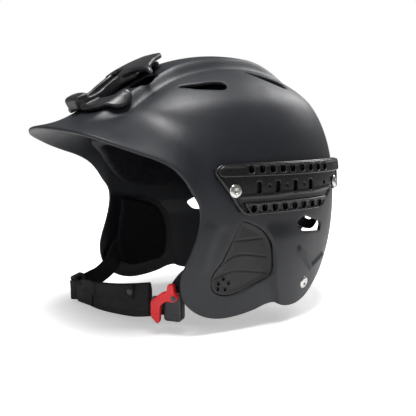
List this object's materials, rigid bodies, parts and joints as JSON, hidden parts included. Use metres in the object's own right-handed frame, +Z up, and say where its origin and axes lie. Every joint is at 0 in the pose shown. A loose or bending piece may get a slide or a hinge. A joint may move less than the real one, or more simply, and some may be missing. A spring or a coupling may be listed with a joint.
{
  "type": "water helmet",
  "caption": "Black water-sports helmet with a peaked brim, ear guards, side accessory rails, brow mount, dial-adjusted cradle and buckled chin strap.",
  "frame": {"origin": "centre of the overall bounding box's floor, so the helmet stands on z = 0", "axes": "-Y is the wearer's front (the brim's tip), +X the wearer's left, +Z up"},
  "size_m": [0.2208, 0.3097, 0.2508],
  "materials": {
    "shell_black": "matte, very fine texture",
    "panel_black": "matte, slightly greyer than the shell",
    "foam_black": "closed-cell foam, matte",
    "pad_fabric": "knitted cloth over soft foam",
    "rail_black": "satin gloss",
    "mount_black": "matte",
    "cradle_black": "satin",
    "buckle_black": "satin",
    "lever_red": "semi gloss",
    "webbing_black": "woven polyester tape",
    "screw_steel": "satin nickel",
    "plate_steel": "satin"
  },
  "bodies": {
    "helmet": {"outer_shell": "shell_black", "impact_liner": "foam_black", "left_ear_panel": "panel_black", "right_ear_panel": "panel_black", "left_ear_pad": "pad_fabric", "right_ear_pad": "pad_fabric", "left_rail": "rail_black", "right_rail": "rail_black", "rail_screws": "screw_steel", "rail_nuts": "screw_steel", "anchor_screws": "screw_steel", "anchor_nuts": "screw_steel", "front_mount": "mount_black", "mount_plate": "plate_steel", "brow_pad": "pad_fabric", "crown_pad": "pad_fabric", "side_pads": "pad_fabric", "nape_pad": "pad_fabric", "dial_housing": "cradle_black", "chin_band": "webbing_black", "right_webbing": "webbing_black", "left_webbing": "webbing_black", "strap_rivets": "screw_steel", "buckle_housing": "buckle_black", "buckle_pin": "screw_steel", "buckle_tongue": "buckle_black"},
    "dial": {"dial_pinion": "cradle_black", "dial_knob": "cradle_black"},
    "left_band": {"left_cradle_band": "cradle_black"},
    "right_band": {"right_cradle_band": "cradle_black"},
    "lever": {"buckle_lever": "lever_red"},
    "slider": {"strap_slider": "buckle_black"}
  },
  "joints": [
    {"name": "dial_turn", "type": "hinge", "parent": "helmet", "child": "dial", "pos_m": [0, 0.1231, 0.083], "axis": [0, 1, 0], "range_deg": [-65, 65]},
    {"name": "left_band_slide", "type": "slide", "parent": "helmet", "child": "left_band", "axis": [1, 0, 0], "range_m": [-0.007, 0.007]},
    {"name": "right_band_slide", "type": "slide", "parent": "helmet", "child": "right_band", "axis": [1, 0, 0], "range_m": [-0.007, 0.007]},
    {"name": "lever_lift", "type": "hinge", "parent": "helmet", "child": "lever", "pos_m": [0.0747, -0.05767, 0.034], "axis": [0.6222, -0.7828, 0], "range_deg": [-35, 0]},
    {"name": "slider_slide", "type": "slide", "parent": "helmet", "child": "slider", "axis": [-0.27, 0.9299, 0.25], "range_m": [0, 0.008]}
  ],
  "couplings": [
    {"joint": "left_band_slide", "follows": "dial_turn", "m_per_rad": 0.006},
    {"joint": "right_band_slide", "follows": "dial_turn", "m_per_rad": -0.006}
  ]
}
